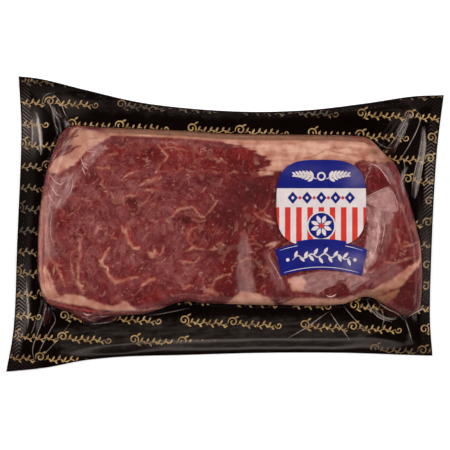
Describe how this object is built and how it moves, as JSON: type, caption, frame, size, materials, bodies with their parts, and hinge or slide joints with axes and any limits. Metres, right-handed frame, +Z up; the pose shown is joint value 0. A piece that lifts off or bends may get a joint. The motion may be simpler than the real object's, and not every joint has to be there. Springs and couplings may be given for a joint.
{
  "type": "vacuum-packed raw ribeye steak",
  "caption": "Raw boneless ribeye steak lying in a vacuum pack: black printed back film, clear film drawn tight over the meat, and a badge-shaped label.",
  "frame": {"origin": "middle of the pack's footprint, on the surface it lies on", "axes": "+X along the pack's length, +Y away from the viewer across its width, +Z up out of the meat's shown face"},
  "size_m": [0.2286, 0.1544, 0.0181],
  "materials": {
    "film": "glossy black film printed with small gold scrolls, clear film sealed to it",
    "meat": "wet raw beef with cream fat under tight clear film",
    "label": "glossy printed sticker in blue, cream and red"
  },
  "bodies": {
    "root": {"back_film": "film", "steak": "meat", "label": "label"}
  },
  "joints": []
}
